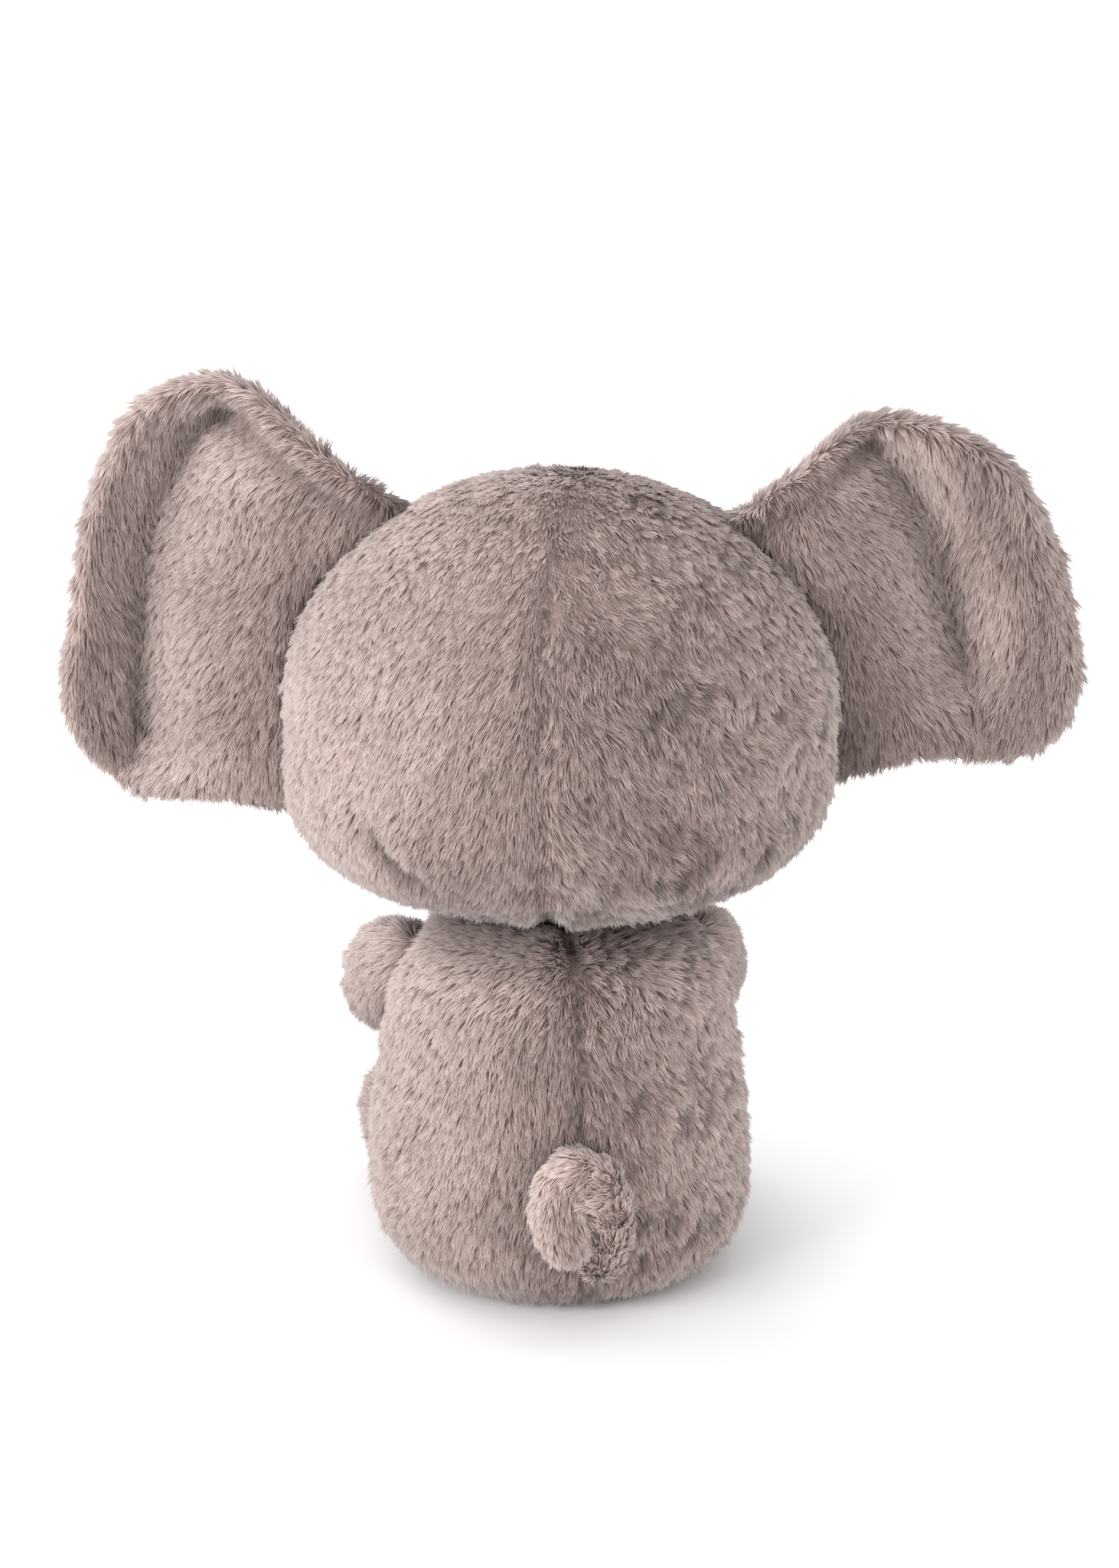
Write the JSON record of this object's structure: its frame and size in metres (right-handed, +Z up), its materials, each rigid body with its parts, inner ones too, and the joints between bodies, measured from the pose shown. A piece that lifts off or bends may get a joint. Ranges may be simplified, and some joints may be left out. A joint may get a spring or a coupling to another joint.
{
  "type": "seated stuffed elephant",
  "caption": "Seated stuffed elephant with a large round head, wide soft ears, short limbs, a curled tail and sprung, sewn joints.",
  "frame": {"origin": "middle of the flat seat, on the surface the elephant sits on", "axes": "+Z up, the elephant faces -Y, +X is its own left"},
  "size_m": [0.2997, 0.1834, 0.272],
  "materials": {
    "grey_plush": "short soft pile, warm grey",
    "pale_plush": "shorter pile, pale warm grey",
    "filling": "white polyester fibre",
    "pellets": "cloth bag of small pellets",
    "thread": "doubled grey sewing thread",
    "eye_plastic": "polished black",
    "washer_plastic": "natural white"
  },
  "bodies": {
    "torso": {"pellet_bag": "pellets", "torso_back_left": "grey_plush", "torso_back_right": "grey_plush", "torso_belly": "grey_plush", "torso_filling": "filling", "torso_seat": "grey_plush"},
    "neck": {"neck_filling": "filling", "neck_thread": "thread"},
    "head": {"eye_left": "eye_plastic", "eye_left_washer": "washer_plastic", "eye_right": "eye_plastic", "eye_right_washer": "washer_plastic", "head_back_left": "grey_plush", "head_back_right": "grey_plush", "head_cheek_left": "grey_plush", "head_cheek_right": "grey_plush", "head_filling": "filling", "head_forehead": "grey_plush"},
    "trunk": {"trunk_cover": "grey_plush", "trunk_filling": "filling"},
    "tail": {"tail_cover": "grey_plush", "tail_filling": "filling"},
    "ear_left": {"ear_left_back": "grey_plush", "ear_left_lining": "pale_plush", "ear_left_wadding": "filling"},
    "arm_left": {"arm_left_cover": "grey_plush", "arm_left_filling": "filling", "arm_left_paw_pad": "pale_plush"},
    "leg_left": {"leg_left_cover": "grey_plush", "leg_left_filling": "filling", "leg_left_sole_pad": "pale_plush"},
    "ear_right": {"ear_right_back": "grey_plush", "ear_right_lining": "pale_plush", "ear_right_wadding": "filling"},
    "arm_right": {"arm_right_cover": "grey_plush", "arm_right_filling": "filling", "arm_right_paw_pad": "pale_plush"},
    "leg_right": {"leg_right_cover": "grey_plush", "leg_right_filling": "filling", "leg_right_sole_pad": "pale_plush"}
  },
  "joints": [
    {"name": "neck_turn", "type": "hinge", "parent": "torso", "child": "neck", "pos_m": [0, 0, 0.11], "axis": [0, 0, 1], "range_deg": [-20, 20], "stiffness_Nm_per_rad": 0.5},
    {"name": "head_nod", "type": "hinge", "parent": "neck", "child": "head", "pos_m": [0, 0, 0.11], "axis": [0.9781, -0.2079, 0], "range_deg": [-10, 10], "stiffness_Nm_per_rad": 1.2},
    {"name": "ear_left_flap", "type": "hinge", "parent": "head", "child": "ear_left", "pos_m": [0.07317, -0.03169, 0.1885], "axis": [-0.2629, 0.1282, 0.9563], "range_deg": [-12, 12], "stiffness_Nm_per_rad": 0.12},
    {"name": "ear_right_flap", "type": "hinge", "parent": "head", "child": "ear_right", "pos_m": [-0.08169, 0.00123, 0.196], "axis": [0.4577, 0.016, 0.889], "range_deg": [-12, 12], "stiffness_Nm_per_rad": 0.12},
    {"name": "trunk_lift", "type": "hinge", "parent": "head", "child": "trunk", "pos_m": [-0.01642, -0.07727, 0.152], "axis": [-0.9781, 0.2079, 0], "range_deg": [-10, 25], "stiffness_Nm_per_rad": 0.12},
    {"name": "arm_left_raise", "type": "hinge", "parent": "torso", "child": "arm_left", "pos_m": [0.043, -0.01, 0.098], "axis": [-0.2265, -0.974, 0], "range_deg": [0, 16], "stiffness_Nm_per_rad": 0.12},
    {"name": "arm_right_raise", "type": "hinge", "parent": "torso", "child": "arm_right", "pos_m": [-0.043, -0.01, 0.098], "axis": [-0.2265, 0.974, 0], "range_deg": [0, 16], "stiffness_Nm_per_rad": 0.12},
    {"name": "leg_left_lift", "type": "hinge", "parent": "torso", "child": "leg_left", "pos_m": [0.033, -0.022, 0.0217], "axis": [-0.9998, -0.0175, 0], "range_deg": [0, 16], "stiffness_Nm_per_rad": 0.25},
    {"name": "leg_right_lift", "type": "hinge", "parent": "torso", "child": "leg_right", "pos_m": [-0.033, -0.022, 0.0217], "axis": [-0.9998, 0.0175, 0], "range_deg": [0, 16], "stiffness_Nm_per_rad": 0.25},
    {"name": "tail_lift", "type": "hinge", "parent": "torso", "child": "tail", "pos_m": [0, 0.06704, 0.02504], "axis": [-1, 0, 0], "range_deg": [0, 30], "stiffness_Nm_per_rad": 0.05}
  ]
}
